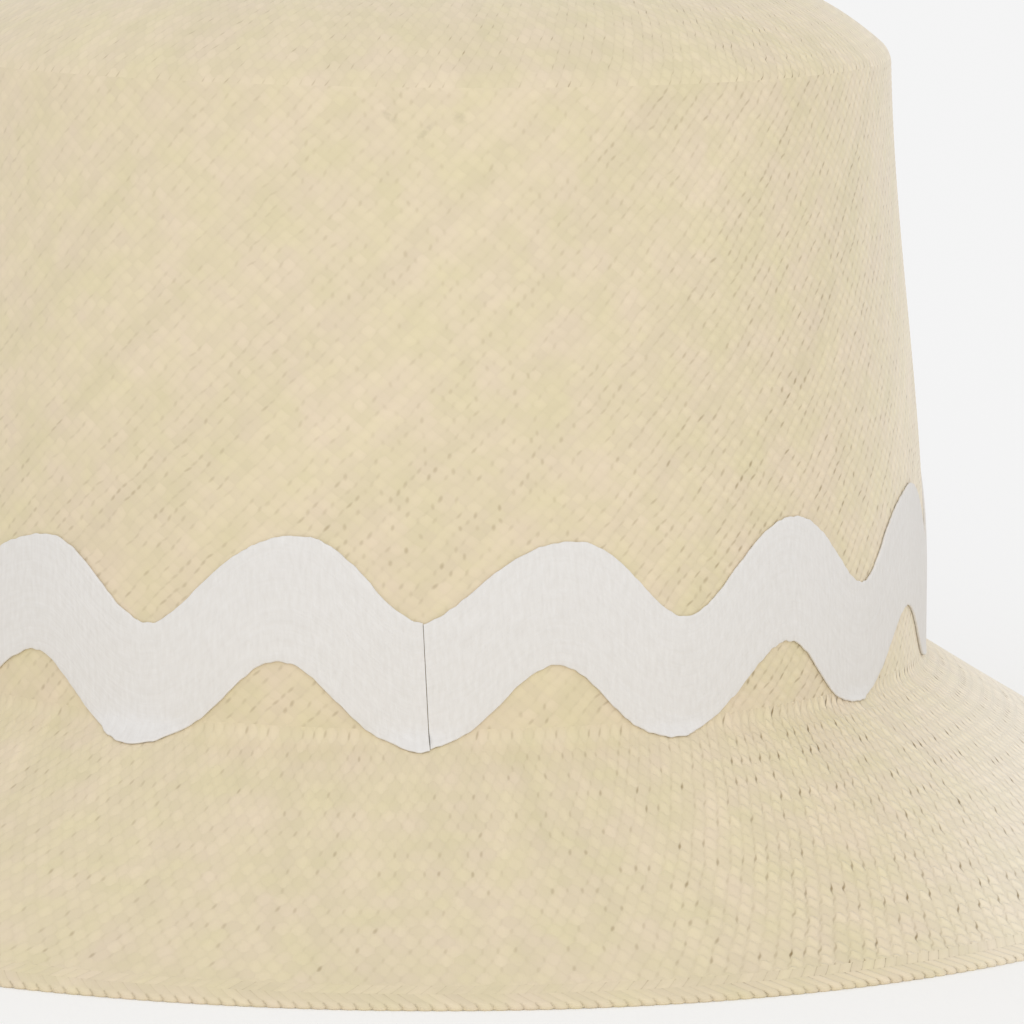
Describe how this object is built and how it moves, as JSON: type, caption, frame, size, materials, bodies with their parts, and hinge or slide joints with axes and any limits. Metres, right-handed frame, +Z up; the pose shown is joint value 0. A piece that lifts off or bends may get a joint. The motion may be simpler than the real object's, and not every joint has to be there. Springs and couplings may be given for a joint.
{
  "type": "wide-brim hat",
  "caption": "Woven straw hat with a tall round-shouldered crown, a downward sloping brim and a wavy off-white band round the foot of the crown.",
  "frame": {"origin": "middle of the hat's footprint, on the flat surface that the rim rests on", "axes": "+Z up through the tip of the crown; -Y is the front of the hat and +Y its back, where the band's ends meet; +X is the wearer's left"},
  "size_m": [0.268, 0.302, 0.1365],
  "materials": {
    "straw": "natural toquilla straw, plain weave, semi-matt",
    "rickrack": "off-white woven cotton trim, matt"
  },
  "bodies": {
    "root": {"straw_body": "straw", "rickrack_band": "rickrack"}
  },
  "joints": []
}
